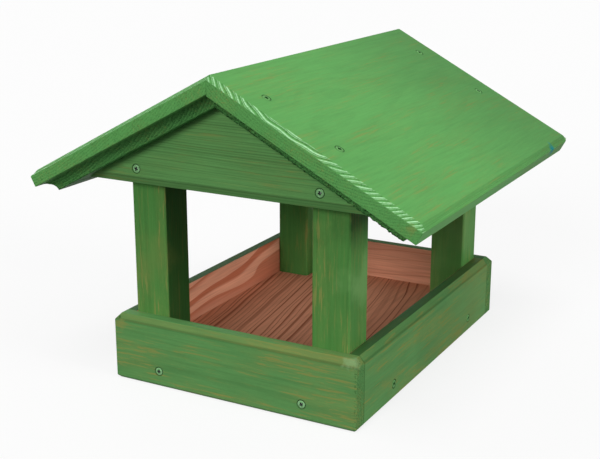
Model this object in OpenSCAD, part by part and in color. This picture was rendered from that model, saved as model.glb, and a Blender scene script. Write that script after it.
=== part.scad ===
// Wooden bird feeder: an open seed tray on four corner posts,
// two gable boards and a saddle roof of two boards mitred at the ridge.
// The front faces -Y, the ridge runs along Y and the tray rests on Z = 0.

/* [Tray] */
// Width of the tray over the side rails
tray_w = 275; // [220:1:330]
// Depth of the tray over the front and back rails
tray_d = 369; // [300:1:450]
// Height of the tray rails
rail_h = 71; // [50:1:90]
// Thickness of the tray rails
rail_t = 16.5; // [12:0.5:24]
// Depth of the bevel on the upper outer edge of a rail
rail_bevel_d = 5.5; // [1:0.5:8]
// Height of the bevel on the upper outer edge of a rail
rail_bevel_h = 6.5; // [2:0.5:14]
// Size of the smaller bevel on the lower outer edge of a rail
rail_foot_bevel = 3; // [1:0.5:7]
// Height of the floor's upper face
floor_z = 27; // [21:1:40]
// Thickness of the floor board
floor_t = 20; // [10:0.5:20]

/* [Posts] */
// Clear height of the openings from the rails up to the gables
opening_h = 140; // [80:1:200]
// Side of the square corner posts
post_side = 39.5; // [25:0.5:50]
// Width of the eased edges along a post
post_ease = 1.5; // [0.5:0.5:4]

/* [Gables] */
// Thickness of the gable boards
gable_t = 20; // [12:0.5:26]
// Height of the gable boards from the lower edge to the peak
gable_h = 86.5; // [70:0.5:110]
// Depth of the bevel on the gable's lower outer edge
gable_bevel_d = 6; // [1:0.5:10]
// Height of the bevel on the gable's lower outer edge
gable_bevel_h = 9; // [2:0.5:14]

/* [Roof] */
// Slope of the roof boards in degrees
roof_slope = 28; // [24:0.5:32]
// Overhang of the roof past the outer face of each gable
gable_overhang = 27; // [20:1:70]
// Width of a roof board from the ridge down to the eave
roof_board_w = 240; // [236:1:280]
// Thickness of the roof boards
roof_board_t = 27; // [20:0.5:32]
// Radius of the cove cut under the three outer edges
cove_r = 12; // [4:0.5:14]
// Flat shoulder between the cove and the outer edge
cove_shoulder = 2; // [0.5:0.5:6]
// Width of the bevel on the upper outer edges
top_bevel_w = 6.5; // [2:0.5:12]
// Drop of the bevel on the upper outer edges
top_bevel_t = 3.5; // [1:0.5:5]

/* [Hidden] */
$fn = 64;
STAIN_GREEN = "#4f9a4b";
BARE_PINE = "#b9775a";
// Clear space inside the tray
inner_w = tray_w - 2 * rail_t;
inner_d = tray_d - 2 * rail_t;
// Length of the roof along the ridge
roof_l = inner_d + 2 * (gable_t + gable_overhang);
// Height of the gables' lower edges
gable_z = rail_h + opening_h;
// Height of the gables' peaks, where the roof's two undersides meet
underside_z = gable_z + gable_h;
// Height of the ridge
ridge_z = underside_z + roof_board_t / cos(roof_slope);
// Reach of a gable board at its lower edge, where it meets the underside
gable_reach = gable_h / tan(roof_slope);
// Extra length of cutting shapes past the stock they cut
overcut = 5;

// Stock of one tray rail along X, outer face on Y = 0, lower face on Z = 0
module rail_stock(length) {
    profile = [
        [0, rail_foot_bevel],
        [rail_foot_bevel, 0],
        [rail_t, 0],
        [rail_t, rail_h],
        [rail_bevel_d, rail_h],
        [0, rail_h - rail_bevel_h],
    ];
    translate([-length / 2, 0, 0])
        rotate([90, 0, 90])
            linear_extrude(length)
                polygon(profile);
}

// Outline of an end rail in X and Z, bevelled at both ends
module end_rail_outline() {
    half = tray_w / 2;
    polygon([
        [-half, rail_foot_bevel],
        [rail_foot_bevel - half, 0],
        [half - rail_foot_bevel, 0],
        [half, rail_foot_bevel],
        [half, rail_h - rail_bevel_h],
        [half - rail_bevel_d, rail_h],
        [rail_bevel_d - half, rail_h],
        [-half, rail_h - rail_bevel_h],
    ]);
}

// Front rail at its place: its bevels run round both ends,
// so that they meet those of the side rails
module end_rail() {
    translate([0, -tray_d / 2, 0])
        intersection() {
            rail_stock(tray_w + 2 * overcut);
            translate([0, rail_t + overcut, 0])
                rotate([90, 0, 0])
                    linear_extrude(rail_t + 2 * overcut)
                        end_rail_outline();
        }
}

// Outline of a gable board under the roof, in X and Z
module gable_outline() {
    polygon([
        [-gable_reach, gable_z],
        [gable_reach, gable_z],
        [0, underside_z],
    ]);
}

module front_rail() {
    color(STAIN_GREEN)
        end_rail();
}

module back_rail() {
    color(STAIN_GREEN)
        rotate(180)
            end_rail();
}

module left_rail() {
    color(STAIN_GREEN)
        rotate(-90)
            translate([0, -tray_w / 2, 0])
                rail_stock(inner_d);
}

module right_rail() {
    color(STAIN_GREEN)
        rotate(90)
            translate([0, -tray_w / 2, 0])
                rail_stock(inner_d);
}

module floor_board() {
    color(BARE_PINE)
        translate([-inner_w / 2, -inner_d / 2, floor_z - floor_t])
            cube([inner_w, inner_d, floor_t]);
}

// Square section of a post with its four edges eased
module post_section() {
    near = post_ease;
    far = post_side - post_ease;
    polygon([
        [near, 0],
        [far, 0],
        [post_side, near],
        [post_side, far],
        [far, post_side],
        [near, post_side],
        [0, far],
        [0, near],
    ]);
}

// Corner post standing on the floor, its top cut to the roof's slope
module corner_post(side_x, side_y) {
    outer_x = inner_w / 2;
    inner_x = outer_x - post_side;
    side_outline = [
        [inner_x, floor_z],
        [outer_x, floor_z],
        [outer_x, underside_z - outer_x * tan(roof_slope)],
        [inner_x, underside_z - inner_x * tan(roof_slope)],
    ];
    color(STAIN_GREEN)
        mirror([side_x < 0 ? 1 : 0, 0, 0])
            mirror([0, side_y < 0 ? 1 : 0, 0])
                intersection() {
                    translate([inner_x, inner_d / 2 - post_side, floor_z])
                        linear_extrude(ridge_z - floor_z)
                            post_section();
                    translate([0, inner_d / 2, 0])
                        rotate([90, 0, 0])
                            linear_extrude(post_side)
                                polygon(side_outline);
                }
}

module front_left_post() {
    corner_post(-1, -1);
}

module front_right_post() {
    corner_post(1, -1);
}

module back_left_post() {
    corner_post(-1, 1);
}

module back_right_post() {
    corner_post(1, 1);
}

// Gable board with its inner face on Y = 0 and its outer face towards -Y
module gable_stock() {
    bevel_outline = [
        [0, 0],
        [gable_bevel_d, 0],
        [0, gable_bevel_h],
    ];
    difference() {
        rotate([90, 0, 0])
            linear_extrude(gable_t)
                gable_outline();
        translate([-gable_reach - overcut, -gable_t, gable_z])
            rotate([90, 0, 90])
                linear_extrude(2 * (gable_reach + overcut))
                    polygon(bevel_outline);
    }
}

module front_gable() {
    color(STAIN_GREEN)
        translate([0, -inner_d / 2, 0])
            gable_stock();
}

module back_gable() {
    color(STAIN_GREEN)
        rotate(180)
            translate([0, -inner_d / 2, 0])
                gable_stock();
}

// Section of a moulded edge: across is the distance in from the outer edge,
// up is measured from the underside of the board
module edge_section(across) {
    lip_z = cove_r;
    difference() {
        polygon([
            [0, lip_z],
            [cove_shoulder, lip_z],
            [cove_shoulder, 0],
            [across, 0],
            [across, roof_board_t],
            [top_bevel_w, roof_board_t],
            [0, roof_board_t - top_bevel_t],
        ]);
        translate([cove_shoulder, 0])
            circle(cove_r);
    }
}

// Roof board lying flat: eave edge on X = 0, ridge towards +X,
// underside on Z = 0, both ends and the eave moulded
module roof_board_flat() {
    ridge_overlap = roof_board_t * tan(roof_slope) + overcut;
    blank_w = roof_board_w + ridge_overlap;
    intersection() {
        translate([0, roof_l / 2, 0])
            rotate([90, 0, 0])
                linear_extrude(roof_l)
                    edge_section(blank_w);
        for (end = [0, 1])
            mirror([0, end, 0])
                translate([0, -roof_l / 2, 0])
                    rotate([90, 0, 90])
                        linear_extrude(blank_w)
                            edge_section(roof_l / 2 + overcut);
    }
}

// Right roof board on its slope, cut plumb at the ridge
module roof_board_right() {
    intersection() {
        translate([0, 0, ridge_z])
            rotate([0, roof_slope, 0])
                translate([roof_board_w, 0, -roof_board_t])
                    mirror([1, 0, 0])
                        roof_board_flat();
        translate([0, -roof_l, 0])
            cube([roof_board_w, 2 * roof_l, ridge_z + overcut]);
    }
}

module left_roof_board() {
    color(STAIN_GREEN)
        mirror([1, 0, 0])
            roof_board_right();
}

module right_roof_board() {
    color(STAIN_GREEN)
        roof_board_right();
}

front_rail();
back_rail();
left_rail();
right_rail();
floor_board();
front_left_post();
front_right_post();
back_left_post();
back_right_post();
front_gable();
back_gable();
left_roof_board();
right_roof_board();
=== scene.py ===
import math
from typing import NamedTuple

import bpy
from mathutils import Matrix, Vector


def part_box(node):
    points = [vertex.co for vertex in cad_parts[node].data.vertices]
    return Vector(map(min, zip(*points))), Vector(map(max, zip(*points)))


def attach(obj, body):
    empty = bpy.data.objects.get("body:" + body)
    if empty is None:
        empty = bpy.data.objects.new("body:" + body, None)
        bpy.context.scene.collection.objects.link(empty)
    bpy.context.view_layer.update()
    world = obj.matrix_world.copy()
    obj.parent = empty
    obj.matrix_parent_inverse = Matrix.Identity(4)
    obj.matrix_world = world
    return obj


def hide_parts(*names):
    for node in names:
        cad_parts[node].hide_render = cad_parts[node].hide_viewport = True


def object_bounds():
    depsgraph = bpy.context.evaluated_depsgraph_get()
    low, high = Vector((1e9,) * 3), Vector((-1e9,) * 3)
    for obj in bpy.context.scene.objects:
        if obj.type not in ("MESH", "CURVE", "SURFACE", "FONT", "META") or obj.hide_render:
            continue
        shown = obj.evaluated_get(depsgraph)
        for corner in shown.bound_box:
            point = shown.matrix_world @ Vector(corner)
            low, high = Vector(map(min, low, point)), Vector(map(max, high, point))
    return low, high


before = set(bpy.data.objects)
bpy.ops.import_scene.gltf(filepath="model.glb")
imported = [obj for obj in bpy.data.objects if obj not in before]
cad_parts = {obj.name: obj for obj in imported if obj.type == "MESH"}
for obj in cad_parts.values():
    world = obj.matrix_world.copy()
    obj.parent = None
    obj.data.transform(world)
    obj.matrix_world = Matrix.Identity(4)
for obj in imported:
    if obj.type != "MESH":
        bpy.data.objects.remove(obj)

bl_info = {
    "name": "Wooden bird feeder",
    "version": (1, 0, 0),
    "blender": (4, 5, 0),
    "location": "View3D > Sidebar > Feeder",
    "description": "Dresses the boards of a house-shaped bird feeder and sets it on a pale floor",
    "category": "Object",
}

CAD_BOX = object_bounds()
MM = 0.001
BODY = "root"
X_AXIS = Vector((1, 0, 0))
Y_AXIS = Vector((0, 1, 0))
Z_AXIS = Vector((0, 0, 1))
RIDGE = Vector((0, 0, CAD_BOX[1].z))

# Changes of each noise per mm along the grain, across it and through the board
DRIFT = (0.005, 0.016, 0.016)
PATCH = (0.008, 0.04, 0.04)
MOTTLE = (0.011, 0.05, 0.05)
BARE_MOTTLE = (0.012, 0.04, 0.04)
BARE_LINES = (0.014, 0.5, 0.5)
LINES = (0.025, 0.48, 0.48)
STREAK = (0.028, 0.42, 0.42)
FIBRE = (0.03, 1.3, 1.3)
FLECK = (0.09, 0.8, 0.8)
SPECK = (0.22, 0.55, 0.55)
PITS = (0.35, 0.9, 0.9)
BROKEN = (0.5, 0.5, 1.5)
# Changes of each noise per metre on a screw
FILM_PATCH = (420, 420, 420)
METAL_GRAIN = (900, 900, 900)


def tint(label, description, default):
    """A colour that a user would change."""
    return bpy.props.FloatVectorProperty(
        name=label, description=description, default=default,
        subtype="COLOR", size=3, min=0, max=1,
    )


def length(label, description, default):
    """A length in metres that a user would change."""
    return bpy.props.FloatProperty(
        name=label, description=description, default=default,
        unit="LENGTH", min=0, precision=5,
    )


def glow(label, description, default):
    """Strength of one lamp."""
    return bpy.props.FloatProperty(name=label, description=description, default=default, min=0)


def heading(lamp, default):
    """Direction towards one lamp."""
    return bpy.props.FloatVectorProperty(
        name=lamp + " direction", description="Towards the light", default=default,
        subtype="DIRECTION",
    )


class FeederStain(bpy.types.PropertyGroup):
    """Colours of the stain, the bare wood and the screws."""

    roof_green: tint("Roof green", "Stain on the roof boards", (0.112, 0.352, 0.095))
    rail_green: tint("Rail green", "Stain on the tray rails", (0.108, 0.285, 0.088))
    post_green: tint("Post green", "Stain on the corner posts", (0.082, 0.25, 0.058))
    gable_green: tint("Gable green", "Stain on the gables", (0.122, 0.315, 0.095))
    # Thin green is also painted light on the front right post
    thin_green: tint("Thin green", "Stain brushed out thin", (0.16, 0.34, 0.105))
    # Deep green is also painted shade: on upper faces, a post's side, posts under the roof, screw
    # pockets, coves and under the roof boards
    deep_green: tint("Deep green", "Stain soaked into the wood", (0.012, 0.06, 0.014))
    # Pale green is also a painted highlight on the end bevels and on the front rail's corner
    pale_green: tint("Pale green", "Stain worn on hard rings", (0.42, 0.74, 0.42))
    ochre: tint("Ochre", "Wood that shows through the stain", (0.25, 0.27, 0.075))
    bare_pale: tint("Bare pale wood", "Early wood inside the rails", (0.7, 0.33, 0.208))
    bare_dark: tint("Bare dark wood", "Late wood inside the rails", (0.42, 0.1, 0.044))
    floor_pale: tint("Floor pale wood", "Early wood of the floor", (0.7, 0.308, 0.184))
    floor_dark: tint("Floor dark wood", "Late wood of the floor", (0.27, 0.075, 0.035))
    teal: tint("Teal spot", "Paint spot on the right eave", (0.01, 0.2, 0.19))
    steel: tint("Steel", "Bare zinc in the screw recess", (0.6, 0.72, 0.63))


class FeederShape(bpy.types.PropertyGroup):
    """Sizes of the worked edges."""

    slope: bpy.props.FloatProperty(
        name="Roof slope", description="Pitch of the roof boards",
        default=math.radians(28), subtype="ANGLE",
    )
    ease: length("Edge ease", "Rounding of the sawn edges", 0.0006)
    slice_step: length("Slice step", "Spacing of the cuts down a roof board", 0.0015)
    rail_bevel: length("Rail bevel", "Height of a rail's top bevel", 0.0065)
    corner_r: length("Corner radius", "Rounding of the roof's worn corner", 0.01)
    ring_ridge: length("Ring ridge", "Height of hard rings on the end bevels", 0.0005)
    torn_depth: length("Torn depth", "Roughness of torn wood in the coves", 0.0009)


class FeederScrews(bpy.types.PropertyGroup):
    """Sizes and places of the countersunk screws."""

    head_d: length("Head diameter", "Diameter of a screw head", 0.008)
    head_h: length("Head height", "Depth of the countersunk head", 0.0026)
    sink: length("Sink", "Depth of the rim below the wood", 0.00025)
    pocket_d: length("Pocket diameter", "Countersink in the wood's face", 0.0096)
    recess_span: length("Recess span", "Width over the cross recess", 0.0048)
    recess_w: length("Recess width", "Width of one arm of the recess", 0.0018)
    recess_h: length("Recess depth", "Depth of the cross recess", 0.0018)
    rail_x: length("End rail place", "Half the span of its screws", 0.082)
    rail_off: length("End rail offset", "Shift to the left, seen from outside", 0.0025)
    side_y: length("Side rail place", "Half the span of its screws", 0.104)
    side_off: length("Side rail offset", "Shift to the right, seen from outside", 0.0055)
    rail_z: length("Rail height", "Height of the screws in the rails", 0.017)
    gable_x: length("Gable place", "From the middle to a screw", 0.1)
    gable_z: length("Gable height", "Height of the screws in the gables", 0.227)
    roof_y: length("Roof place", "Half the span along the roof", 0.177)
    roof_off: length("Roof offset", "Shift to the left, seen from outside", 0.002)
    roof_upper: length("Upper roof screw", "Distance down from the ridge", 0.0465)
    roof_lower: length("Lower roof screw", "Distance down from the ridge", 0.13)


class FeederStage(bpy.types.PropertyGroup):
    """Camera, floor and studio light."""

    eye: bpy.props.FloatVectorProperty(
        name="Camera place", description="Where the camera stands",
        default=(0.551012, -1.057001, 0.479236), subtype="TRANSLATION", unit="LENGTH",
    )
    turn: bpy.props.FloatVectorProperty(
        name="Camera turn", description="How the camera is turned",
        default=(math.radians(73.734), 0, math.radians(28.451)), subtype="EULER",
    )
    lens: bpy.props.FloatProperty(
        name="Lens", description="Focal length in mm on a 36 mm frame",
        default=68.4, min=1,
    )
    floor_size: length("Floor size", "Side of the floor", 60)
    floor_white: bpy.props.FloatProperty(
        name="Floor white", description="Share of plain white as seen",
        default=0.82, min=0, max=1, subtype="FACTOR",
    )
    fill: glow("Fill", "Brightness of the surrounding light", 0.26)
    spread: bpy.props.FloatProperty(
        name="Spread", description="Angular size of each soft light",
        default=math.radians(26), subtype="ANGLE",
    )
    front_light: glow("Front light", "Soft light from the front", 1.6)
    front_from: heading("Front", (0.0, -0.91, 0.4))
    side_light: glow("Side light", "Soft light from the right", 1.5)
    side_from: heading("Side", (0.95, -0.02, 0.27))
    back_light: glow("Back light", "Soft light from behind", 0.5)
    back_from: heading("Back", (-0.7, 0.7, 0.1))
    left_light: glow("Left light", "Soft light from the left", 0.4)
    left_from: heading("Left", (-0.95, -0.02, 0.27))
    top_light: glow("Top light", "Soft light from above", 1.0)
    top_from: heading("Top", (0.1, -0.3, 0.95))


class Wire:
    """A socket in a node tree. Arithmetic on it adds Math nodes."""

    def __init__(self, paint, socket):
        self.paint = paint
        self.socket = socket

    def math(self, operation, first, second=0.0):
        return self.paint.node("ShaderNodeMath", {0: first, 1: second}, operation=operation)

    def __add__(self, other):
        return self.math("ADD", self, other)

    __radd__ = __add__

    def __sub__(self, other):
        return self.math("SUBTRACT", self, other)

    def __rsub__(self, other):
        return self.math("SUBTRACT", other, self)

    def __mul__(self, other):
        return self.math("MULTIPLY", self, other)

    __rmul__ = __mul__

    def __truediv__(self, other):
        return self.math("DIVIDE", self, other)

    def __abs__(self):
        return self.math("ABSOLUTE", self)

    def most(self, other):
        return self.math("MAXIMUM", self, other)

    def least(self, other):
        return self.math("MINIMUM", self, other)

    def root(self):
        return self.math("SQRT", self)

    def sine(self):
        return self.math("SINE", self)

    def fraction(self):
        return self.math("FRACT", self)

    def whole(self):
        return self.math("FLOOR", self)

    def step(self, low, high):
        """0 on low's side, 1 on high's side, smooth between; low may be the larger."""
        limits = {0: self, 1: low, 2: high}
        return self.paint.node("ShaderNodeMapRange", limits, interpolation_type="SMOOTHSTEP")


class Paint:
    """Builds the nodes of one material or world."""

    dullness = 0.02

    def __init__(self, owner):
        owner.use_nodes = True
        self.owner = owner
        self.tree = owner.node_tree
        self.tree.nodes.clear()

    def node(self, kind, sockets=None, out=0, **settings):
        """Adds a node and returns its output, or a list of outputs for a tuple of keys."""
        made = self.tree.nodes.new(kind)
        for name, value in settings.items():
            setattr(made, name, value)
        for key, value in (sockets or {}).items():
            if isinstance(value, Wire):
                self.tree.links.new(value.socket, made.inputs[key])
            else:
                made.inputs[key].default_value = value
        if isinstance(out, tuple):
            return [Wire(self, made.outputs[key]) for key in out]
        return Wire(self, made.outputs[out])

    def place(self):
        """The place on the piece, in metres of the shared frame."""
        return self.node("ShaderNodeTexCoord", out="Object")

    def parts(self, vector):
        return self.node("ShaderNodeSeparateXYZ", {0: vector}, (0, 1, 2))

    def measure(self, operation, first, second):
        """A number from two vectors, such as their distance."""
        pair = {0: first, 1: second}
        return self.node("ShaderNodeVectorMath", pair, "Value", operation=operation)

    def noise(self, where, stretch, seed, detail=2.0):
        """Noise on a stretched copy of the place, shifted by the seed."""
        shift = (seed * 7.31, seed * 3.17, seed * 5.73)
        terms = {0: where, 1: stretch, 2: shift}
        placed = self.node("ShaderNodeVectorMath", terms, operation="MULTIPLY_ADD")
        sockets = {"Vector": placed, "Scale": 1.0, "Detail": detail}
        return self.node("ShaderNodeTexNoise", sockets)

    def chance(self, number):
        """A value from 0 to 1 that belongs to a whole number."""
        return self.node("ShaderNodeTexWhiteNoise", {"W": number}, noise_dimensions="1D")

    def blend(self, factor, first, second):
        """Mixes two colours."""
        colours = {}
        for key, value in ((6, first), (7, second)):
            colours[key] = value if isinstance(value, Wire) else (*value, 1.0)
        return self.node("ShaderNodeMix", {0: factor, **colours}, 2, data_type="RGBA")

    def shade(self, colour, amount):
        """Makes a colour lighter or darker."""
        value = colour if isinstance(colour, Wire) else tuple(colour)
        return self.node("ShaderNodeVectorMath", {0: value, "Scale": amount}, operation="SCALE")

    def bump(self, height, strength, distance):
        """Relief, as a normal."""
        sockets = {"Strength": strength, "Distance": distance, "Height": height}
        return self.node("ShaderNodeBump", sockets)

    def surface(self, colour, rough, bump, metallic=0.0):
        """Ends a piece's material with its shader."""
        shader = self.node("ShaderNodeBsdfPrincipled", {
            "Base Color": colour,
            "Roughness": rough,
            "Metallic": metallic,
            "Specular IOR Level": self.dullness,
            "Normal": bump,
        })
        return self.end("ShaderNodeOutputMaterial", shader)

    def end(self, kind, shader):
        """Adds the output node and returns the material or world."""
        output = self.tree.nodes.new(kind)
        self.tree.links.new(shader.socket, output.inputs["Surface"])
        return self.owner


def new_finish(name):
    """The paint of a fresh material."""
    return Paint(bpy.data.materials.new(name))


class Grain(NamedTuple):
    """Sockets of a point in a board: lengths in mm and the count of rings."""

    where: Wire
    along: Wire
    across: Wire
    through: Wire
    rings: Wire


def ring_sway(across, sine):
    """How far the rings wave in and out, for a number or a socket."""
    return 0.45 * sine(0.085 * across) + 0.3 * sine(0.23 * across + 1)


class Timber:
    """How a board was cut from its log: lengths in mm along the grain, across and through.

    Rings lie a pitch apart round the pith and wander slowly, except at an end that is worked.
    """

    def __init__(self, origin, along, across, pith, pitch, wander, seed, end=None, tilt=0.0):
        self.origin = Vector(origin)
        self.turn = Matrix((along, across, along.cross(across)))
        self.pith = pith
        self.pitch = pitch
        self.wander = wander
        self.seed = seed
        self.end = end
        self.tilt = tilt

    def place(self, point):
        """A point of the frame in the board's own lengths."""
        return self.turn @ (point - self.origin) / MM

    def phase(self, across, through):
        """Count of rings from the pith, without the slow wander."""
        radius = math.hypot(across - self.pith[0], through - self.pith[1])
        return (radius + ring_sway(across, math.sin)) / self.pitch

    def grain(self, paint):
        """The same as sockets, with the wander."""
        sockets = {
            "Vector": paint.place(),
            "Location": self.turn @ self.origin / -MM,
            "Rotation": self.turn.to_euler(),
            "Scale": (1 / MM, 1 / MM, 1 / MM),
        }
        where = paint.node("ShaderNodeMapping", sockets, vector_type="POINT")
        along, across, through = paint.parts(where)
        side = across + self.tilt * along - self.pith[0]
        depth = through - self.pith[1]
        radius = (side * side + depth * depth).root()
        wander = (paint.noise(where, DRIFT, self.seed, 1.5) - 0.5) * (2 * self.wander)
        if self.end is not None:
            wander = wander * abs(along).step(self.end - 15, self.end - 70)
        rings = (radius + ring_sway(across, Wire.sine) + wander) / self.pitch
        if self.end is None:
            sockets = {"W": 0.6 * rings + self.seed, "Scale": 1.0, "Detail": 2.0}
            uneven = paint.node("ShaderNodeTexNoise", sockets, noise_dimensions="1D")
            rings = rings + 1.6 * uneven
        return Grain(where, along, across, through, rings)


def late_wood(rings, start, peak):
    """Dark late wood of each ring: slow rise, sharp end."""
    share = rings.fraction()
    return share.step(start, peak) * share.step(1.0, 0.94)


class Mark(NamedTuple):
    """A ragged spot on a board: its place and size in mm, its colour and its strength."""

    spot: tuple
    size: float
    tone: tuple
    share: float


class Coat(NamedTuple):
    """How the stain took on one board, and where painted shade lies on it. Shares run from 0,
    lengths are in mm.
    """

    green: tuple
    # Ochre streaks, dark lines of late wood, and unevenness of the green
    ochre_share: float = 1.0
    line_share: float = 0.1
    uneven: float = 1.0
    # Late wood that soaks up stain on end grain
    hatch: float = 0.06
    # Distance along to a joint, and to torn ends
    joint: float = None
    ends: float = None
    # Painted shade on an upper face, ochre on a rubbed bevel, height of the dark line below that
    # bevel
    top: float = 0.0
    rubbed: float = 0.0
    arris: float = None
    # Direction of a side darkened as painted shade, and its share
    painted_shade_side: tuple = None
    marks: tuple = ()
    # Screws that sit in pockets, with painted shade on the wood round each
    pockets: tuple = ()
    # Reach of a rail's bare inner face, and where its bands start in a ring
    bare_reach: float = None
    band_start: float = 0.5


def stained_finish(name, timber, stain, coat, worked_edges=None):
    """Material of a stained board. A roof board also passes what colours its worked edges."""
    paint = new_finish(name)
    grain = timber.grain(paint)
    where = grain.where
    seed = timber.seed
    late = late_wood(grain.rings, 0.35, 0.88)
    fibre = paint.noise(where, FIBRE, seed + 2, 4.0)
    lines = paint.noise(where, LINES, seed + 4, 4.0)
    pits = paint.noise(where, PITS, seed + 13).step(0.52, 0.66)
    facing = paint.node("ShaderNodeTexCoord", out="Normal")
    _, _, upward = paint.parts(facing)
    sloping = upward.step(0.4, 0.5) * upward.step(0.85, 0.75)
    end_grain = abs(paint.measure("DOT_PRODUCT", facing, timber.turn[0])).step(0.35, 0.75)

    mottle = paint.noise(where, MOTTLE, seed + 3)
    speck = paint.noise(where, SPECK, seed + 17, 3.0)
    strength = paint.chance(grain.rings.whole())
    change = 0.2 * mottle + 0.16 * fibre + 0.34 * lines + 0.14 * speck - 0.42
    colour = paint.shade(coat.green, 1 + change * coat.uneven)
    colour = paint.shade(colour, 1 - late * (0.35 + strength) * coat.line_share)

    patch = paint.noise(where, PATCH, seed + 5).step(0.42, 0.66)
    streak = paint.noise(where, STREAK, seed + 7, 4.0).step(0.55, 0.68)
    fleck = paint.noise(where, FLECK, seed + 11, 3.0).step(0.56, 0.68)
    thin = (patch * (0.15 + 0.85 * streak + 0.4 * fleck) + 0.2 * streak) * coat.ochre_share
    thin = thin + coat.rubbed * sloping * (0.4 + lines)
    colour = paint.blend(thin.least(0.85), colour, stain.ochre)
    # Painted shade: faces that slope like the rail bevels are 14% darker
    colour = paint.shade(colour, 1 - 0.14 * sloping)

    soaked = end_grain * (0.05 + coat.hatch * late + 0.35 * pits)
    for share in [soaked] + dark_places(paint, grain, coat, facing, upward, pits):
        colour = paint.blend(share, colour, stain.deep_green)
    if worked_edges is not None:
        colour = worked_edges(paint, colour, grain, pits)
    # Painted shade in and round each screw's countersink
    for point, _ in coat.pockets:
        offset = paint.measure("DISTANCE", where, timber.place(point))
        colour = paint.blend(0.6 * offset.step(5.3, 4.7), colour, stain.deep_green)
    for mark in coat.marks:
        rate = 1.5 / mark.size
        ragged = paint.noise(where, (rate, rate, rate), 3, 3.0)
        reach = paint.measure("DISTANCE", where, mark.spot) + 2 * mark.size * ragged
        inside = reach.step(2.2 * mark.size, 1.3 * mark.size)
        colour = paint.blend(mark.share * inside, colour, mark.tone)

    height = 0.35 * fibre + 0.2 * lines - 0.4 * late * coat.line_share
    height = height - end_grain * (0.4 * late + 0.4 * pits)
    rough = 0.42 + 0.12 * fibre + 0.1 * thin + 0.15 * end_grain
    if coat.bare_reach is not None:
        wood, bare_height = bare_wood(
            paint, grain, fibre, seed, stain.bare_pale, stain.bare_dark, coat.band_start, 0.5
        )
        inner_face = grain.through.step(-7.6, -8.05)
        bare = inner_face * abs(grain.along).step(coat.bare_reach, coat.bare_reach - 0.6)
        colour = paint.blend(bare, colour, wood)
        height = height + bare_height * bare
    return paint.surface(colour, rough, paint.bump(height, 0.5, 0.0004))


def dark_places(paint, grain, coat, facing, upward, pits):
    """Shares of deep green: stain gathered at a joint and at torn ends, a dark line below the rail
    bevel, and painted shade on upper faces and on one side.
    """
    # Painted shade on upper faces
    places = [coat.top * upward.step(0.95, 0.99)]
    if coat.joint is not None:
        places.append(0.25 * abs(grain.along).step(coat.joint - 1.6, coat.joint - 0.5))
    if coat.ends is not None:
        places.append(0.5 * pits * abs(grain.along).step(coat.ends - 5, coat.ends - 0.5))
    if coat.arris is not None:
        line = abs(grain.across - coat.arris - 0.6).step(2.2, 0.3)
        places.append(0.4 * line * grain.through.step(6.0, 7.2))
    # Painted shade on the side that faces the given direction
    if coat.painted_shade_side is not None:
        side, share = coat.painted_shade_side
        places.append(share * paint.measure("DOT_PRODUCT", facing, side).step(0.8, 0.95))
    return places


def bare_wood(paint, grain, fibre, seed, pale, dark, start, least):
    """Planed wood without stain: its colour and its relief."""
    late = late_wood(grain.rings, start, start + 0.35)
    strength = paint.chance(grain.rings.whole() + 40)
    mottle = paint.noise(grain.where, BARE_MOTTLE, seed + 23)
    lines = paint.noise(grain.where, BARE_LINES, seed + 29, 3.0)
    colour = paint.shade(pale, 0.42 + 0.4 * mottle + 0.3 * fibre + 0.46 * lines)
    band = late * (least + (1 - least) * strength)
    colour = paint.blend(band, colour, paint.shade(dark, 0.7 + 0.6 * lines))
    return colour, 0.2 * fibre - 0.3 * late


def bare_finish(name, timber, stain):
    """Material of the unstained floor."""
    paint = new_finish(name)
    grain = timber.grain(paint)
    fibre = paint.noise(grain.where, FIBRE, timber.seed + 2, 4.0)
    colour, height = bare_wood(
        paint, grain, fibre, timber.seed, stain.floor_pale, stain.floor_dark, 0.55, 0.25
    )
    return paint.surface(colour, 0.55 + 0.2 * fibre, paint.bump(height, 0.5, 0.0004))


def only(piece):
    """Selects one object and makes it active."""
    bpy.ops.object.select_all(action="DESELECT")
    piece.select_set(True)
    bpy.context.view_layer.objects.active = piece


def pick(piece, wanted):
    """Selects the vertices that the test accepts, in edit mode."""
    bpy.ops.object.mode_set(mode="EDIT")
    bpy.ops.mesh.select_mode(type="VERT")
    bpy.ops.mesh.select_all(action="DESELECT")
    bpy.ops.object.mode_set(mode="OBJECT")
    for vertex in piece.data.vertices:
        vertex.select = wanted(vertex.co)
    bpy.ops.object.mode_set(mode="EDIT")


def place_in_mesh():
    """Applies the place and scale of a new primitive and returns it."""
    bpy.ops.object.transform_apply()
    return bpy.context.object


def board_from_cad(node, ease):
    """A copy of a CAD board with whole faces and softened edges."""
    same_place = 0.00001
    flat = math.radians(0.5)
    sharp = math.radians(20)
    board = bpy.data.objects.new(node + "_wood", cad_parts[node].data.copy())
    board.data.materials.clear()
    bpy.context.scene.collection.objects.link(board)
    only(board)
    if board.data.has_custom_normals:
        bpy.ops.mesh.customdata_custom_splitnormals_clear()
    bpy.ops.object.mode_set(mode="EDIT")
    bpy.ops.mesh.select_all(action="SELECT")
    bpy.ops.mesh.remove_doubles(threshold=same_place)
    bpy.ops.mesh.dissolve_limited(angle_limit=flat)
    bpy.ops.mesh.select_all(action="DESELECT")
    bpy.ops.mesh.select_mode(type="EDGE")
    bpy.ops.mesh.edges_select_sharp(sharpness=sharp)
    bpy.ops.mesh.bevel(offset=ease, segments=2, affect="EDGES", clamp_overlap=True)
    bpy.ops.object.mode_set(mode="OBJECT")
    return board


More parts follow.
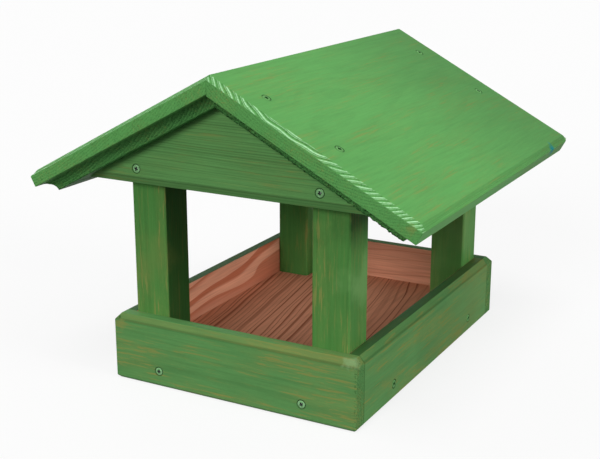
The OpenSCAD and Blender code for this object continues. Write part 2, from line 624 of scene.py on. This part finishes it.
def finish_board(board, node, material):
    """Material, shading and the board's place in the frame."""
    only(board)
    bpy.ops.object.shade_smooth_by_angle(angle=math.radians(30))
    flat = board.modifiers.new("Flat faces", "WEIGHTED_NORMAL")
    flat.mode = "FACE_AREA"
    flat.weight = 100
    flat.keep_sharp = True
    bpy.ops.object.modifier_apply(modifier=flat.name)
    board.data.materials.append(material)
    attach(board, BODY)
    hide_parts(node)


def placement(point, out):
    """Matrix that puts +Z of a small piece on the outward direction."""
    turn = out.to_track_quat("Z", "Y").to_matrix().to_4x4()
    return Matrix.Translation(point) @ turn


def combine(piece, other, operation):
    """Cuts another object out of a piece or joins it on, and removes the other."""
    only(piece)
    change = piece.modifiers.new("Combine", "BOOLEAN")
    change.operation = operation
    change.solver = "EXACT"
    change.object = other
    bpy.ops.object.modifier_apply(modifier=change.name)
    bpy.data.meshes.remove(other.data)


def drill_pockets(board, places, screws):
    """Cuts a countersink for each screw."""
    above = 0.001
    clearance = 0.0002
    narrow = 0.62
    depth = screws.head_h + screws.sink + clearance
    bottom_r = screws.head_d / 2 * narrow
    flare = (screws.pocket_d / 2 - bottom_r) / depth
    for point, out in places:
        bpy.ops.object.select_all(action="DESELECT")
        bpy.ops.mesh.primitive_cone_add(
            vertices=48, radius1=bottom_r, radius2=screws.pocket_d / 2 + flare * above,
            depth=depth + above, location=(0, 0, (above - depth) / 2),
        )
        cutter = place_in_mesh()
        cutter.data.transform(placement(point, out))
        combine(board, cutter, "DIFFERENCE")


def dress(scene, node, timber, coat):
    """Makes, drills, stains and places one board that has no worked edges."""
    board = board_from_cad(node, scene.feeder_shape.ease)
    drill_pockets(board, coat.pockets, scene.feeder_screws)
    material = stained_finish(node + "_stain", timber, scene.feeder_stain, coat)
    finish_board(board, node, material)


def roof_axes(side, slope):
    """Directions down the slope and out of a roof board; side is 1 for right, -1 for left."""
    down = Vector((side * math.cos(slope), 0, -math.sin(slope)))
    out = Vector((side * math.sin(slope), 0, math.cos(slope)))
    return down, out


def screw_places(scene):
    """Point and outward direction of every screw, listed by the board that holds it."""
    screws = scene.feeder_screws
    places = {}
    rail_lo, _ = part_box("front_rail")
    side_lo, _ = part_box("left_rail")
    gable_lo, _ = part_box("front_gable")
    for end, sign in (("front", -1), ("back", 1)):
        out = sign * Y_AXIS
        shift = sign * screws.rail_off
        places[end + "_rail"] = [
            (Vector((x + shift, -sign * rail_lo.y, screws.rail_z)), out)
            for x in (-screws.rail_x, screws.rail_x)
        ]
        places[end + "_gable"] = [
            (Vector((x, -sign * gable_lo.y, screws.gable_z)), out)
            for x in (-screws.gable_x, screws.gable_x)
        ]
    for side, sign in (("left", -1), ("right", 1)):
        shift = sign * screws.side_off
        places[side + "_rail"] = [
            (Vector((-sign * side_lo.x, y + shift, screws.rail_z)), sign * X_AXIS)
            for y in (-screws.side_y, screws.side_y)
        ]
        down, out = roof_axes(sign, scene.feeder_shape.slope)
        places[side + "_roof_board"] = [
            (RIDGE + down * reach + Y_AXIS * (y - sign * screws.roof_off), out)
            for y in (-screws.roof_y, screws.roof_y)
            for reach in (screws.roof_upper, screws.roof_lower)
        ]
    return places


class FEEDER_OT_rails(bpy.types.Operator):
    """Dress the four tray rails"""

    bl_idname = "feeder.rails"
    bl_label = "Tray rails"

    def execute(self, context):
        scene = context.scene
        stain = scene.feeder_stain
        places = screw_places(scene)
        cuts = {
            "front_rail": dict(along=X_AXIS, pith=(-34, 66), pitch=4.6, wander=5.0, seed=3),
            "back_rail": dict(
                along=-X_AXIS, pith=(64, -60), pitch=8.0, wander=5.0, seed=8, tilt=0.04
            ),
            "left_rail": dict(
                along=-Y_AXIS, pith=(-16, -78), pitch=10.0, wander=12.0, seed=5, tilt=0.13
            ),
            "right_rail": dict(along=Y_AXIS, pith=(-20, 72), pitch=6.0, wander=6.0, seed=14),
        }
        front_marks = (
            Mark((-132.3, 30.8, 5.75), 2.0, stain.deep_green, 0.9),
            Mark((-129, 25, 8.25), 6.0, stain.ochre, 0.5),
            # Painted highlight on the bevel at the right end
            Mark((131, 33, 5), 9.0, stain.pale_green, 0.2),
        )
        right_marks = (
            # Painted shade towards the far end of the outer face
            Mark((60, 0, 60), 110.0, stain.deep_green, 0.2),
            Mark((120, 0, 60), 110.0, stain.ochre, 0.25),
        )
        looks = {
            "front_rail": dict(ochre_share=1.5, rubbed=0.35, band_start=0.4, marks=front_marks),
            # top darkens the upper faces of these rails as painted shade
            "back_rail": dict(ochre_share=0.9, top=0.62, band_start=0.74),
            "left_rail": dict(ochre_share=0.9, top=0.62, band_start=0.5),
            "right_rail": dict(ochre_share=1.7, top=0.62, band_start=0.4, marks=right_marks),
        }
        _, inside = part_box("floor_board")
        for node, cut in cuts.items():
            low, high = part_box(node)
            timber = Timber((low + high) / 2, across=Z_AXIS, **cut)
            end_rail = node in ("front_rail", "back_rail")
            coat = Coat(
                stain.rail_green,
                line_share=0.08,
                joint=None if end_rail else inside.y / MM,
                ends=high.x / MM if end_rail else None,
                arris=((high.z - low.z) / 2 - scene.feeder_shape.rail_bevel) / MM,
                pockets=places[node],
                bare_reach=(inside.x if end_rail else inside.y) / MM,
                **looks[node],
            )
            dress(scene, node, timber, coat)
        return {"FINISHED"}


class FEEDER_OT_floor(bpy.types.Operator):
    """Dress the bare floor board"""

    bl_idname = "feeder.floor"
    bl_label = "Floor board"

    def execute(self, context):
        scene = context.scene
        low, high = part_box("floor_board")
        timber = Timber(
            (low + high) / 2, Y_AXIS, -X_AXIS,
            pith=(-140, -62), pitch=5.6, wander=7.0, seed=21, tilt=-0.17,
        )
        board = board_from_cad("floor_board", scene.feeder_shape.ease)
        material = bare_finish("floor_board_bare", timber, scene.feeder_stain)
        finish_board(board, "floor_board", material)
        return {"FINISHED"}


class FEEDER_OT_posts(bpy.types.Operator):
    """Dress the four corner posts"""

    bl_idname = "feeder.posts"
    bl_label = "Corner posts"

    def execute(self, context):
        scene = context.scene
        stain = scene.feeder_stain
        marks = {
            "front_left_post": (Mark((-12, 0, -42), 40.0, stain.ochre, 0.22),),
            # Painted shade high on the front face, painted light on the right face
            "front_right_post": (
                Mark((70, 0, -42), 40.0, stain.deep_green, 0.3),
                Mark((-6, 40, 14), 38.0, stain.thin_green, 0.9),
            ),
            # Painted shade on the front face
            "back_left_post": (Mark((0, 0, -60), 90.0, stain.deep_green, 0.2),),
            "back_right_post": (Mark((0, 0, -60), 90.0, stain.thin_green, 0.6),),
        }
        # Painted shade on the right side of the front left post
        painted_shade_side = {"front_left_post": (X_AXIS, 0.62)}
        for seed, node in enumerate(marks, 31):
            low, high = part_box(node)
            timber = Timber(
                (low + high) / 2, Z_AXIS, X_AXIS,
                pith=(24, 46), pitch=3.4, wander=3.0, seed=seed,
            )
            coat = Coat(
                stain.post_green, line_share=0.14, marks=marks[node], painted_shade_side=painted_shade_side.get(node)
            )
            dress(scene, node, timber, coat)
        return {"FINISHED"}


class FEEDER_OT_gables(bpy.types.Operator):
    """Dress the two gable boards"""

    bl_idname = "feeder.gables"
    bl_label = "Gable boards"

    def execute(self, context):
        scene = context.scene
        green = scene.feeder_stain.gable_green
        places = screw_places(scene)
        for node, along, seed in (("front_gable", X_AXIS, 41), ("back_gable", -X_AXIS, 44)):
            low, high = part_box(node)
            timber = Timber(
                (low + high) / 2, along, Z_AXIS,
                pith=(-190, 30), pitch=2.5, wander=3.0, seed=seed,
            )
            coat = Coat(green, ochre_share=0.4, line_share=0.25, pockets=places[node])
            dress(scene, node, timber, coat)
        return {"FINISHED"}


def soft_step(value):
    """0 to 1 with soft ends, held outside."""
    held = min(max(value, 0.0), 1.0)
    return held * held * (3 - 2 * held)


def ring_stroke(share):
    """Height of a hard ring over one ring's width, 0 to 1."""
    return soft_step((share - 0.2) / 0.22) * soft_step((0.82 - share) / 0.22)


class RoofBoard:
    """One roof board and the work on its edges, in mm along the grain, down the slope and out."""

    # Sizes of the CAD board
    width = 240.0
    thick = 27.0
    bevel_w = 6.5
    bevel_t = 3.5
    cove_r = 12.0
    cove_in = 14.0

    def __init__(self, node, shape, stain, side, pith, pitch, seed, torn, cove_fill):
        _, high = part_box(node)
        down, _ = roof_axes(side, shape.slope)
        self.node = node
        self.shape = shape
        self.stain = stain
        self.side = side
        self.torn = torn
        self.cove_fill = cove_fill
        self.half_l = high.y / MM
        self.lip_t = self.thick - cove_fill * self.cove_r
        self.timber = Timber(
            RIDGE, -side * Y_AXIS, down, pith, pitch, wander=7.0, seed=seed, end=self.half_l
        )
        self.turn_back = self.timber.turn.transposed()

    def finish(self, pockets):
        """Stain with the marks that the photo shows on the right eave."""
        marks = ()
        if self.side > 0:
            marks = (
                Mark((-156, 239.6, -4.2), 8.0, self.stain.teal, 1.0),
                Mark((self.half_l, 230, -7), 5.0, self.stain.ochre, 0.45),
            )
        coat = Coat(
            self.stain.roof_green, ochre_share=0.4, line_share=0.04, uneven=0.8, hatch=0.12,
            marks=marks, pockets=pockets,
        )
        return stained_finish(
            self.node + "_stain", self.timber, self.stain, coat, self.worked_edges
        )

    def round_corner(self, board):
        """Cuts the worn back corner at the eave to a round, as seen from above the board."""
        over = 2.0
        radius = self.shape.corner_r / MM
        corner = Vector((-self.half_l, self.width, -self.thick / 2))
        inner = corner + Vector((radius, -radius, 0))
        outer = corner + Vector((-over, over, 0))
        bpy.ops.object.select_all(action="DESELECT")
        bpy.ops.mesh.primitive_cylinder_add(
            vertices=64, radius=radius, depth=self.thick + 3 * over, location=inner
        )
        kept = place_in_mesh()
        bpy.ops.object.select_all(action="DESELECT")
        bpy.ops.mesh.primitive_cube_add(size=1, location=(inner + outer) / 2)
        bpy.context.object.scale = (radius + over, radius + over, self.thick + 2 * over)
        cutter = place_in_mesh()
        combine(cutter, kept, "DIFFERENCE")
        place = Matrix.Translation(self.timber.origin) @ self.turn_back.to_4x4()
        cutter.data.transform(place @ Matrix.Scale(MM, 4))
        combine(board, cutter, "DIFFERENCE")

    def lower_lip(self, board):
        """Makes the lip thicker where the cutter left a cove less deep than its radius."""
        at_ridge = 0.001
        lower_part = -13
        for vertex in board.data.vertices:
            place = self.timber.place(vertex.co)
            inset = min(self.half_l - abs(place.x), self.width - place.y)
            if inset > self.cove_in + 1 or place.z > lower_part:
                continue
            drop = (self.cove_fill - 1) * (place.z + self.thick) * MM
            if abs(vertex.co.x) < at_ridge:
                vertex.co.z += drop / math.cos(self.shape.slope)
            else:
                vertex.co += self.turn_back @ Vector((0, 0, drop))

    def slice_across(self, board):
        """Cuts across the slope and along the bevels, so that the end grain can be worked."""
        layers = 6
        step = self.shape.slice_step / MM
        reach = max(self.timber.place(vertex.co).y for vertex in board.data.vertices)
        cuts = [((0, step * count, 0), Y_AXIS) for count in range(1, int(reach / step) + 1)]
        cuts += [((0, 0, -self.bevel_t * count / layers), Z_AXIS) for count in range(1, layers)]
        only(board)
        bpy.ops.object.mode_set(mode="EDIT")
        for point, normal in cuts:
            bpy.ops.mesh.select_all(action="SELECT")
            bpy.ops.mesh.bisect(
                plane_co=self.timber.origin + self.turn_back @ Vector(point) * MM,
                plane_no=self.turn_back @ normal,
            )
        bpy.ops.object.mode_set(mode="OBJECT")

    def raise_rings(self, board):
        """Lifts the hard rings on the bevels across the grain."""
        for vertex in board.data.vertices:
            place = self.timber.place(vertex.co)
            in_from_end = self.half_l - abs(place.x)
            if in_from_end > self.bevel_w or place.z < -self.bevel_t:
                continue
            depth = -place.z / self.bevel_t
            fade = min(1.0, 4 * depth, 4 * (1 - depth))
            if fade <= 0:
                continue
            out = Vector((math.copysign(self.bevel_t, place.x), 0, self.bevel_w)).normalized()
            lift = ring_stroke(self.timber.phase(place.y, place.z) % 1.0) - 0.75
            vertex.co += self.turn_back @ out * (lift * fade * self.shape.ring_ridge)

    def tear_coves(self, board):
        """Roughens the coves across the grain, where the cutter tore the wood."""
        def in_cove(co):
            place = self.timber.place(co)
            in_from_end = self.half_l - abs(place.x)
            return place.z < -self.lip_t - 1 and 1.5 < in_from_end < self.cove_in + 0.7

        only(board)
        pick(board, in_cove)
        bpy.ops.transform.vertex_random(
            offset=self.shape.torn_depth * self.torn, uniform=1.0, normal=0.0,
            seed=self.timber.seed,
        )
        bpy.ops.object.mode_set(mode="OBJECT")

    def worked_edges(self, paint, colour, grain, pits):
        """Painted light falling off to the back; hard rings on the end bevels pale from wear and a
        painted highlight, with painted shade between; coves dark from torn end grain and painted
        shade; painted shade under the board.
        """
        along = grain.along
        through = grain.through
        # Painted light: 4% lighter at the front end, darker towards the back
        painted_falloff = (-self.side * along).step(-86, self.half_l)
        colour = paint.shade(colour, 1.04 - 0.31 * painted_falloff)
        bevel_from = self.half_l - self.bevel_w
        on_bevel = abs(along).step(bevel_from - 0.4, bevel_from + 0.2)
        on_bevel = on_bevel * through.step(-self.bevel_t - 0.3, -self.bevel_t + 0.2)
        # Pale strokes on the hard rings: wear and a painted highlight
        share = grain.rings.fraction()
        first = share.step(0.22, 0.33) * share.step(0.52, 0.42)
        second = share.step(0.58, 0.66) * share.step(0.84, 0.76)
        broken = paint.noise(grain.where, BROKEN, 61, 3.0).step(0.3, 0.6)
        worn = 0.6 + 0.4 * paint.chance(grain.rings.whole() + 9) - 0.3 * pits
        stroke = (first + 0.5 * second) * worn * (0.6 + 0.6 * broken)
        colour = paint.blend(on_bevel * stroke, colour, self.stain.pale_green)
        gap = share.step(0.84, 0.92) + share.step(0.16, 0.08)
        cove_from = self.half_l - self.cove_in
        cove = abs(along).step(cove_from - 1.0, cove_from + 0.5)
        cove = cove * through.step(-self.lip_t + 0.2, -self.lip_t - 0.8)
        under = through.step(-self.thick + 1.2, -self.thick + 0.4)
        # Painted shade between the rings on a bevel; torn end grain and painted shade in a cove;
        # painted shade under the board
        dark = (
            on_bevel * gap * (0.12 + 0.35 * pits),
            cove * (0.3 + 0.25 * share + 0.3 * pits),
            under * 0.6,
        )
        for amount in dark:
            colour = paint.blend(amount, colour, self.stain.deep_green)
        return colour


class FEEDER_OT_roof(bpy.types.Operator):
    """Dress the two roof boards and cut their worked end grain"""

    bl_idname = "feeder.roof"
    bl_label = "Roof boards"

    def execute(self, context):
        scene = context.scene
        shape = scene.feeder_shape
        places = screw_places(scene)
        cuts = {
            "right_roof_board": dict(
                side=1, pith=(92, 230), pitch=2.7, seed=51, torn=1.0, cove_fill=0.88
            ),
            "left_roof_board": dict(
                side=-1, pith=(225, 380), pitch=2.6, seed=54, torn=0.45, cove_fill=1.0
            ),
        }
        for node, cut in cuts.items():
            roof = RoofBoard(node, shape, scene.feeder_stain, **cut)
            board = board_from_cad(node, shape.ease)
            drill_pockets(board, places[node], scene.feeder_screws)
            if roof.side > 0:
                roof.round_corner(board)
            roof.lower_lip(board)
            roof.slice_across(board)
            roof.raise_rings(board)
            roof.tear_coves(board)
            finish_board(board, node, roof.finish(places[node]))
        return {"FINISHED"}


class FEEDER_OT_screws(bpy.types.Operator):
    """Model one countersunk screw and set a copy in every pocket"""

    bl_idname = "feeder.screws"
    bl_label = "Screws"

    # Tolerance when picking by height
    hair = 0.0001

    def execute(self, context):
        scene = context.scene
        sizes = scene.feeder_screws
        stain = scene.feeder_stain
        pattern = self.screw(sizes)
        self.mark_recess(pattern, sizes)
        scraped = self.film("stained_screw_head", stain, 0.28), self.zinc(stain)
        covered = self.film("covered_screw_head", stain, 0.0), self.clogged(stain)
        turn_step = math.radians(37)
        count = 0
        for board, places in screw_places(scene).items():
            at_an_end = abs(places[0][1].y) > 0.5
            for number, (point, out) in enumerate(places, 1):
                screw = bpy.data.objects.new(f"{board}_screw_{number}", pattern.data.copy())
                scene.collection.objects.link(screw)
                for finish in scraped if at_an_end else covered:
                    screw.data.materials.append(finish)
                turn = Matrix.Rotation(turn_step * count, 4, "Z")
                screw.data.transform(placement(point - out * sizes.sink, out) @ turn)
                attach(screw, BODY)
                count += 1
        bpy.data.meshes.remove(pattern.data)
        return {"FINISHED"}

    def screw(self, sizes):
        """A countersunk head with its rim on Z = 0, a low dome and a cross recess."""
        neck = 0.55
        dome = 0.88
        dome_h = 0.0003
        bpy.ops.object.select_all(action="DESELECT")
        bpy.ops.mesh.primitive_cylinder_add(
            vertices=40, radius=sizes.head_d / 2, depth=sizes.head_h,
            location=(0, 0, -sizes.head_h / 2),
        )
        head = place_in_mesh()
        head.name = "screw_pattern"
        low = -sizes.head_h + self.hair
        pick(head, lambda co: co.z < low)
        bpy.ops.transform.resize(value=(neck, neck, 1))
        pick(head, lambda co: co.z > -self.hair)
        bpy.ops.mesh.extrude_region_move(TRANSFORM_OT_translate={"value": (0, 0, dome_h)})
        bpy.ops.transform.resize(value=(dome, dome, 1))
        bpy.ops.object.mode_set(mode="OBJECT")
        combine(head, self.cross(sizes), "DIFFERENCE")
        bpy.ops.object.shade_smooth_by_angle(angle=math.radians(35))
        return head

    def cross(self, sizes):
        """Cutter of the recess: two arms that taper downwards."""
        above = 0.001
        tip = (0.45, 0.7, 1)
        arms = []
        for turn in (0, math.pi / 2):
            bpy.ops.object.select_all(action="DESELECT")
            bpy.ops.mesh.primitive_cube_add(size=1, location=(0, 0, (above - sizes.recess_h) / 2))
            bpy.context.object.scale = sizes.recess_span, sizes.recess_w, sizes.recess_h + above
            arm = place_in_mesh()
            pick(arm, lambda co: co.z < 0)
            bpy.ops.transform.resize(value=tip)
            bpy.ops.object.mode_set(mode="OBJECT")
            arm.data.transform(Matrix.Rotation(turn, 4, "Z"))
            arms.append(arm)
        first, second = arms
        combine(first, second, "UNION")
        return first

    def mark_recess(self, head, sizes):
        """Faces of the recess take the second finish."""
        for face in head.data.polygons:
            inside = face.center.xy.length < sizes.recess_span * 0.5
            if inside and -sizes.recess_h - self.hair < face.center.z < self.hair:
                face.material_index = 1

    def film(self, name, stain, pale_share):
        """Zinc under a thin film of stain."""
        paint = new_finish(name)
        patch = paint.noise(paint.place(), FILM_PATCH, 4, 3.0)
        worn = patch.step(0.5, 0.72)
        green = paint.shade(stain.rail_green, 0.9 + 0.6 * patch)
        green = paint.blend(pale_share, green, stain.pale_green)
        colour = paint.blend(worn * 0.5 * pale_share, green, stain.steel)
        relief = paint.bump(patch, 0.25, 0.0002)
        return paint.surface(colour, 0.42 - 0.12 * worn, relief, 0.3 * worn)

    def zinc(self, stain):
        """Dull zinc, scraped by the driver."""
        paint = new_finish("bare_screw_recess")
        grain = paint.noise(paint.place(), METAL_GRAIN, 9, 3.0)
        colour = paint.shade(stain.steel, 0.1 + 0.25 * grain)
        return paint.surface(colour, 0.4 + 0.2 * grain, paint.bump(grain, 0.2, 0.0001), 1.0)

    def clogged(self, stain):
        """Recess filled with dark stain."""
        paint = new_finish("clogged_screw_recess")
        grain = paint.noise(paint.place(), METAL_GRAIN, 12, 3.0)
        colour = paint.shade(stain.deep_green, 0.8 + 0.8 * grain)
        return paint.surface(colour, 0.5 + 0.2 * grain, paint.bump(grain, 0.2, 0.0001))


class FEEDER_OT_stage(bpy.types.Operator):
    """Set up the camera, the floor and the light"""

    bl_idname = "feeder.stage"
    bl_label = "Stage"

    def execute(self, context):
        scene = context.scene
        stage = scene.feeder_stage
        scene.view_settings.view_transform = "Standard"
        self.add_camera(scene, stage)
        self.add_floor(stage)
        self.add_lamps(scene, stage)
        self.add_surroundings(scene, stage)
        return {"FINISHED"}

    def add_camera(self, scene, stage):
        camera = bpy.data.objects.new("camera", bpy.data.cameras.new("camera"))
        scene.collection.objects.link(camera)
        camera.location = stage.eye
        camera.rotation_euler = stage.turn
        camera.data.sensor_fit = "HORIZONTAL"
        camera.data.sensor_width = 36
        camera.data.lens = stage.lens
        scene.camera = camera

    def add_floor(self, stage):
        bpy.ops.object.select_all(action="DESELECT")
        bpy.ops.mesh.primitive_plane_add(size=stage.floor_size)
        floor = bpy.context.object
        floor.name = "studio_floor"
        floor.data.materials.append(self.pale_floor(stage))

    def add_lamps(self, scene, stage):
        for name in ("front", "side", "back", "left", "top"):
            sun = bpy.data.lights.new(name + "_light", "SUN")
            sun.energy = getattr(stage, name + "_light")
            sun.angle = stage.spread
            lamp = bpy.data.objects.new(name + "_light", sun)
            towards = Vector(getattr(stage, name + "_from"))
            lamp.rotation_euler = towards.to_track_quat("Z", "Y").to_euler()
            scene.collection.objects.link(lamp)

    def add_surroundings(self, scene, stage):
        """Even fill light, and a white background where it is seen."""
        world = bpy.data.worlds.new("studio")
        scene.world = world
        paint = Paint(world)
        white = (1, 1, 1, 1)
        fill = paint.node("ShaderNodeBackground", {"Color": white, "Strength": stage.fill})
        plain = paint.node("ShaderNodeBackground", {"Color": white, "Strength": 1.0})
        both = paint.node("ShaderNodeMixShader", {0: self.seen(paint), 1: fill, 2: plain})
        paint.end("ShaderNodeOutputWorld", both)

    def seen(self, paint):
        """1 for rays that show the background itself, seen straight or in the screws' metal."""
        rays = ("Is Camera Ray", "Is Glossy Ray", "Is Transmission Ray")
        straight, glossy, clear = paint.node("ShaderNodeLightPath", out=rays)
        return straight.most(glossy).most(clear)

    def pale_floor(self, stage):
        """White floor that keeps a soft shadow and throws little light back."""
        paint = new_finish("pale_floor")
        seen = self.seen(paint)
        tone = paint.blend(seen, (0.15, 0.15, 0.15), (0.93, 0.93, 0.93))
        matt = paint.node("ShaderNodeBsdfDiffuse", {"Color": tone})
        white = paint.node("ShaderNodeEmission", {"Color": (1, 1, 1, 1), "Strength": 1.0})
        share = seen * stage.floor_white
        both = paint.node("ShaderNodeMixShader", {0: share, 1: matt, 2: white})
        return paint.end("ShaderNodeOutputMaterial", both)


class FEEDER_PT_pieces(bpy.types.Panel):
    """Lists the pieces and their settings"""

    bl_idname = "FEEDER_PT_pieces"
    bl_label = "Bird feeder"
    bl_space_type = "VIEW_3D"
    bl_region_type = "UI"
    bl_category = "Feeder"

    def draw(self, context):
        layout = self.layout
        for operator in OPERATORS:
            layout.operator(operator.bl_idname)
        for name, group in SETTINGS.items():
            box = layout.box()
            box.label(text=name.replace("_", " "))
            for key in group.__annotations__:
                box.prop(getattr(context.scene, name), key)


SETTINGS = {
    "feeder_stain": FeederStain,
    "feeder_shape": FeederShape,
    "feeder_screws": FeederScrews,
    "feeder_stage": FeederStage,
}
OPERATORS = (
    FEEDER_OT_rails,
    FEEDER_OT_floor,
    FEEDER_OT_posts,
    FEEDER_OT_gables,
    FEEDER_OT_roof,
    FEEDER_OT_screws,
    FEEDER_OT_stage,
)


def register():
    for group in SETTINGS.values():
        bpy.utils.register_class(group)
    for name, group in SETTINGS.items():
        setattr(bpy.types.Scene, name, bpy.props.PointerProperty(type=group))
    for operator in OPERATORS:
        bpy.utils.register_class(operator)
    bpy.utils.register_class(FEEDER_PT_pieces)


def unregister():
    bpy.utils.unregister_class(FEEDER_PT_pieces)
    for operator in reversed(OPERATORS):
        bpy.utils.unregister_class(operator)
    for name in SETTINGS:
        delattr(bpy.types.Scene, name)
    for group in reversed(SETTINGS.values()):
        bpy.utils.unregister_class(group)


def main():
    register()
    bpy.ops.feeder.rails()
    bpy.ops.feeder.floor()
    bpy.ops.feeder.posts()
    bpy.ops.feeder.gables()
    bpy.ops.feeder.roof()
    bpy.ops.feeder.screws()
    bpy.ops.feeder.stage()


if __name__ == "__main__":
    main()
